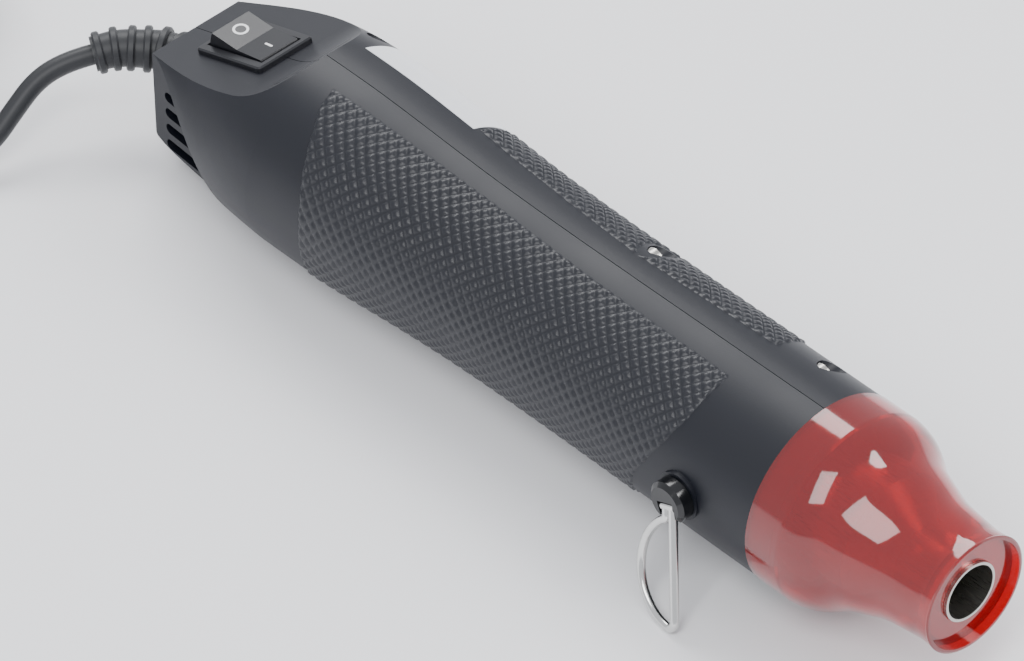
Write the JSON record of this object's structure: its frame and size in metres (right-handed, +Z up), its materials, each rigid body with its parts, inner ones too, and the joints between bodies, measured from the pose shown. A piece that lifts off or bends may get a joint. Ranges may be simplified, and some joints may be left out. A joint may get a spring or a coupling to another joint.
{
  "type": "embossing heat tool",
  "caption": "Slim hot-air embossing tool with a red see-through nozzle cover, knurled dark casing, rocker switch on a sloping tail deck, wire stand, and mains lead with plug.",
  "frame": {"origin": "centre of the air outlet's mouth, on the tool's axis", "axes": "+X forward along the air stream, +Y to the side that carries the wire stand, +Z up to the switch side"},
  "size_m": [0.3617, 0.0843, 0.0483],
  "materials": {
    "casing": "satin, fine diamond knurl on the grip",
    "cover": "gloss, see-through red",
    "steel": "satin",
    "mica": "matte",
    "heater_wire": "dull",
    "fuse": "matte",
    "bushing": "matte",
    "wire_sleeve": "matte",
    "fan": "satin",
    "magnet": "matte",
    "board": "matte",
    "switch": "satin",
    "brass": "plain",
    "boss": "gloss",
    "ring": "bright",
    "label": "matte",
    "cord": "satin",
    "tie": "satin"
  },
  "bodies": {
    "casing": {"left_shell": "casing", "right_shell": "casing", "nozzle_cover": "cover", "outlet_tube": "steel", "heater_barrel": "steel", "mica_sleeve": "mica", "mica_cross": "mica", "mica_discs": "mica", "heating_coil": "heater_wire", "thermal_fuse": "fuse", "front_bush": "bushing", "heater_holder": "bushing", "heater_leads": "wire_sleeve", "fan_shroud": "bushing", "motor_can": "steel", "motor_magnets": "magnet", "motor_end_bell": "bushing", "rectifier_board": "board", "rectifier_diodes": "switch", "switch_housing": "switch", "switch_terminals": "brass", "rating_label": "label", "casing_screws": "steel", "cord_clamp": "bushing", "clamp_screws": "steel", "strain_relief": "cord", "inner_lead": "cord", "cord_run": "cord", "cord_coil": "cord", "cord_tail": "cord", "cord_tie": "tie", "plug_body": "cord", "plug_blades": "brass"},
    "rocker": {"rocker": "switch"},
    "rotor": {"motor_shaft": "steel", "motor_armature": "steel", "fan_wheel": "fan"},
    "stand_pivot": {"stand_boss": "boss", "stand_washer": "steel", "stand_screw": "steel"},
    "stand_bow": {"stand_ring": "ring"}
  },
  "joints": [
    {"name": "rocker_tilt", "type": "hinge", "parent": "casing", "child": "rocker", "pos_m": [-0.2083, 0, 0.01127], "axis": [0, -1, 0], "range_deg": [0, 22]},
    {"name": "fan_spin", "type": "hinge", "parent": "casing", "child": "rotor", "pos_m": [-0.15, 0, 0], "axis": [1, 0, 0], "continuous": true},
    {"name": "stand_swivel", "type": "hinge", "parent": "casing", "child": "stand_pivot", "pos_m": [-0.0596, 0.0222, 0], "axis": [0, 1, 0], "range_deg": [-68, 112]},
    {"name": "stand_tilt", "type": "hinge", "parent": "stand_pivot", "child": "stand_bow", "pos_m": [-0.05922, 0.02465, -0.00093], "axis": [0.9272, 0, 0.3746], "range_deg": [-19, 76]}
  ]
}
